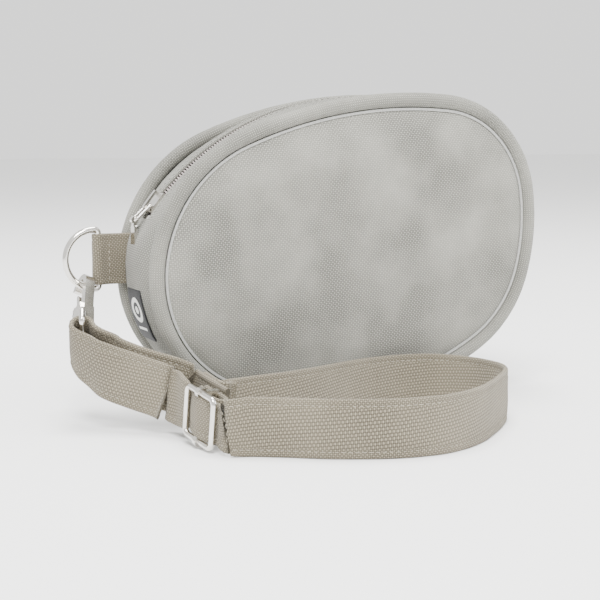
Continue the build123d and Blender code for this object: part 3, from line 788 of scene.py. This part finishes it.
def make_hook_loop():
    """Strap from the slide, round the hook's bar and back."""
    lean = BAR_DIR + Vector((0, 0, 1.4))
    out = [(in_slide(-14.0, STRAP_IN), SLIDE_UP, STRAP_SQUEEZED),
           (in_slide(-11.0, STRAP_IN), SLIDE_UP, STRAP_SQUEEZED + 0.2),
           (in_slide(-6.5, STRAP_IN - 1.7), SLIDE_UP, STRAP_SQUEEZED + 0.4),
           (in_slide(0.0, STRAP_IN - 3.0), SLIDE_UP, STRAP_SQUEEZED + 0.6),
           (in_slide(6.5, STRAP_IN - 1.7), SLIDE_UP, STRAP_SQUEEZED + 0.4),
           (in_slide(11.5, STRAP_IN), SLIDE_UP, STRAP_SQUEEZED + 0.2),
           (in_slide(14.0, STRAP_IN - 0.1), SLIDE_UP, 19.6),
           (in_slide(18.0, STRAP_IN - 0.4), SLIDE_UP, 22.6),
           (in_slide(25.5, STRAP_IN), SLIDE_UP, 24.6),
           ((-113.5, -17.5, 20.4), UPRIGHT, STRAP_WIDTH),
           ((-122.0, -9.0, 23.4), UPRIGHT, STRAP_WIDTH),
           ((-130.0, -1.0, 26.6), UPRIGHT, STRAP_WIDTH),
           ((-135.6, 8.0, 30.6), lean, STRAP_WIDTH)]
    turn = []
    for angle in (180, 135, 90, 45, 0):
        a = math.radians(angle)
        p = EYE_AT + (ACROSS * math.cos(a) + UP_HOOK * math.sin(a)) * STRAP_TURN
        turn.append((p, BAR_DIR, STRAP_WIDTH))
    back = [((-125.2, 6.0, 31.0), lean, STRAP_WIDTH),
            ((-120.5, -3.5, 27.0), UPRIGHT, STRAP_WIDTH),
            ((-112.5, -11.5, 23.8), UPRIGHT, STRAP_WIDTH),
            ((-103.5, -18.0, 20.8), UPRIGHT, STRAP_WIDTH),
            (in_slide(25.5, RETURN_IN), SLIDE_UP, STRAP_WIDTH - 1.6),
            (in_slide(10.0, RETURN_IN), SLIDE_UP, STRAP_WIDTH - 2),
            (in_slide(-1.0, RETURN_IN), SLIDE_UP, STRAP_WIDTH - 2)]
    obj, frames = ribbon("strap_hook_cloth", out + turn + back)
    finish_piece(obj, "strap", strap_cloth, "strap", "strap_hook_loop")
    edge_stitching("strap_hook_stitching", frames, "strap")


def make_wrist_loop():
    """Strap's loop for the wrist, standing on edge on the floor, back to where it is sewn."""
    floor = [(-93.0, -73.5), (-80.0, -81.0), (-66.0, -90.5), (-50.0, -98.5), (-34.0, -103.0),
             (-18.0, -103.0), (-4.0, -98.5), (9.0, -90.5), (21.5, -79.5), (33.0, -68.0),
             (42.0, -57.5), (46.0, -47.5), (46.0, -38.0), (44.0, -28.0), (39.0, -17.5),
             (31.0, -9.5), (20.0, -6.0), (8.0, -5.5), (-8.0, -8.5), (-24.0, -14.5),
             (-40.0, -21.0), (-56.0, -26.0), (-71.0, -28.5), (-83.0, -31.5)]
    z = STRAP_WIDTH / 2
    start = [(in_slide(-13.0, STRAP_IN), SLIDE_UP, STRAP_SQUEEZED),
             (in_slide(-16.0, STRAP_IN), SLIDE_UP, STRAP_SQUEEZED + 2.4),
             (in_slide(-20.0, STRAP_IN + 1.4) + Vector((0, 0, 1.2)), UPRIGHT, 24.0)]
    middle = [((x, y, z), UPRIGHT, STRAP_WIDTH) for x, y in floor]
    end = [(in_slide(9.0, SEWN_IN), SLIDE_UP, STRAP_WIDTH - 2),
           (in_slide(24.0, SEWN_IN), SLIDE_UP, STRAP_WIDTH - 2)]
    obj, frames = ribbon("strap_wrist_cloth", start + middle + end)
    finish_piece(obj, "strap", strap_cloth, "strap", "strap_wrist_loop")
    edge_stitching("strap_wrist_stitching", frames, "strap")


def make_end_loop():
    """Strap's end, folded round the slide's centre bar."""
    width = STRAP_SQUEEZED
    half = (ARM_IN - TAIL_IN) / 2
    middle = (ARM_IN + TAIL_IN) / 2
    stations = [(in_slide(13.5, ARM_IN), SLIDE_UP, width), (in_slide(-4.0, ARM_IN), SLIDE_UP, width)]
    for angle in (45, 90, 135):
        a = math.radians(angle)
        p = in_slide(-4.0 - half * math.sin(a), middle + half * math.cos(a))
        stations.append((p, SLIDE_UP, width))
    stations += [(in_slide(-4.0, TAIL_IN), SLIDE_UP, width),
                 (in_slide(5.5, TAIL_IN), SLIDE_UP, width),
                 (in_slide(13.5, ARM_IN - STRAP_THICK), SLIDE_UP, width)]
    obj, _ = ribbon("strap_end_cloth", stations, waviness=0.1)
    finish_piece(obj, "slide", strap_cloth, "strap", "strap_end_loop")


def make_tab():
    """Tab folded round the D-ring's bar and sewn into the back seam."""
    x0, y0, z0 = RING_BAR
    gap = 0.85
    turn = 2.35
    near = [(-100.8, -gap - 0.2), (-106.0, -gap), (-112.0, -gap), (-116.0, -gap - 0.35)]
    stations = [((x, y0 + dy, z0), UPRIGHT, TAB_WIDTH) for x, dy in near]
    for angle in (-70, -110, -150, 180, 150, 110, 70):
        a = math.radians(angle)
        p = (x0 + turn * math.cos(a), y0 + turn * math.sin(a), z0)
        stations.append((p, UPRIGHT, TAB_WIDTH))
    stations += [((x, y0 - dy, z0), UPRIGHT, TAB_WIDTH) for x, dy in reversed(near)]
    obj, _ = ribbon("tab_cloth", stations, thick=1.3, waviness=0.12, step=1.0)
    finish_piece(obj, "root", strap_cloth, "strap", "d_ring_tab")
    bars = []
    for x in (-103.8, -114.6):
        path = [(Vector((x, y0 - 1.52, z0 + s)), Vector((0, -1, 0)))
                for s in (-10.5, -5.0, 0.0, 5.0, 10.5)]
        bars.append(stitches("bar", path, radius=0.2))
    finish_piece(join(bars, "tab_stitching"), "root", strap_thread, "strap")


def make_label():
    """Woven label lying on the gusset, held down along its top and bottom."""
    low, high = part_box("side_label")
    bottom, top = low[2] / MM + 0.6, high[2] / MM - 0.6
    line = [p for p in seam_between(TRACK_LEFT, TRACK_RIGHT, 0.9)
            if bottom < p[1] < top and p[0] < 0]
    rows = []
    for k, (x, z, nx, nz) in enumerate(line):
        lift = 0.35 + 0.4 * math.sin(math.pi * min(1, k / 3, (len(line) - 1 - k) / 3) / 2)
        row = []
        for j in range(LABEL_COLUMNS + 1):
            y = LABEL_Y + LABEL_WIDTH * (j / LABEL_COLUMNS - 0.5)
            p = gusset_point(x, z, nx, nz, y, 0.0)
            row.append(p + Vector((nx, 0, nz)) * lift)
        rows.append(row)
    obj = grid("label_cloth", rows, flip=True)
    solid = obj.modifiers.new("thickness", "SOLIDIFY")
    solid.thickness = 0.5 * MM
    solid.offset = -1
    finish_piece(obj, "root", label_material(), "label", "side_label")


# ---- carried-over CAD pieces ---------------------------------------------------------
def dress(node, material):
    """New finish for a CAD piece that keeps its shape."""
    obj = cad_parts[node]
    obj.data.materials.clear()
    obj.data.materials.append(material)


def dress_cad():
    """Finishes of all the CAD pieces that the scene keeps."""
    for node in ("zip_closed_stop", "zip_open_stop", "slider_body", "slider_bridge", "zip_pull_link",
                 "zip_pull_tab", "d_ring", "hook_body", "hook_gate", "swivel_eye", "slide_frame",
                 "slide_bar"):
        dress(node, nickel)
    for node in ("gate_pin", "gate_spring"):
        dress(node, steel)
    for node in ("lining_front", "lining_back", "lining_gusset",
                 "front_seam_tape", "back_seam_tape", "front_piping_cord", "back_piping_cord"):
        dress(node, lining_cloth)


# ---- stage ---------------------------------------------------------------------------
def make_camera():
    data = bpy.data.cameras.new("camera")
    data.lens = LENS
    data.sensor_width = SENSOR
    camera = bpy.data.objects.new("camera", data)
    camera.location = place(*EYE)
    camera.rotation_euler = (math.pi / 2 - PITCH, 0.0, -YAW)
    bpy.context.scene.collection.objects.link(camera)
    bpy.context.scene.camera = camera


def area_light(name, where, size, power):
    """Soft round light aimed at the pouch."""
    data = bpy.data.lights.new(name, "AREA")
    data.shape = "DISK"
    data.size = size
    data.energy = power
    light = bpy.data.objects.new(name, data)
    light.location = where
    light.rotation_euler = (Vector(LIGHT_TARGET) - Vector(where)).to_track_quat("-Z", "Y").to_euler()
    bpy.context.scene.collection.objects.link(light)


def make_floor():
    """Plain pale floor."""
    data = bpy.data.meshes.new("floor")
    s = FLOOR_HALF
    data.from_pydata([(-s, -s, 0), (s, -s, 0), (s, s, 0), (-s, s, 0)], [], [(0, 1, 2, 3)])
    floor = bpy.data.objects.new("floor", data)
    bpy.context.scene.collection.objects.link(floor)
    paper = Recipe("paper")
    shade = paper.spread(paper.noise(3.0), 0.2, 0.8, 0.0, 0.03)
    tint = paper.mix(shade, (0.92, 0.92, 0.915), (0.86, 0.86, 0.85))
    data.materials.append(paper.set(Base_Color=tint, Roughness=0.9))


def make_light():
    """Even pale surroundings and three soft lights."""
    world = bpy.data.worlds.new("studio")
    world.use_nodes = True
    background = world.node_tree.nodes["Background"]
    background.inputs["Color"].default_value = (1.0, 1.0, 0.99, 1.0)
    background.inputs["Strength"].default_value = 1.5
    bpy.context.scene.world = world
    area_light("key", (-0.5, -0.9, 1.5), 0.8, 55.0)
    area_light("fill", (1.3, -0.7, 0.8), 0.9, 14.0)
    area_light("top", (0.1, 0.2, 1.6), 0.8, 34.0)


make_camera()
for panel_side in ("front", "back"):
    make_panel(panel_side)
make_piping("front", PIPING_IN)
make_piping("back", DEPTH - PIPING_IN)
make_lower_gusset()
make_zip_strips()
for zip_side, zip_sign in SIDES:
    make_tape(zip_side, zip_sign)
    make_coil(zip_side, zip_sign)
make_tab()
make_label()
make_hook_loop()
make_wrist_loop()
make_end_loop()
dress_cad()
make_floor()
make_light()
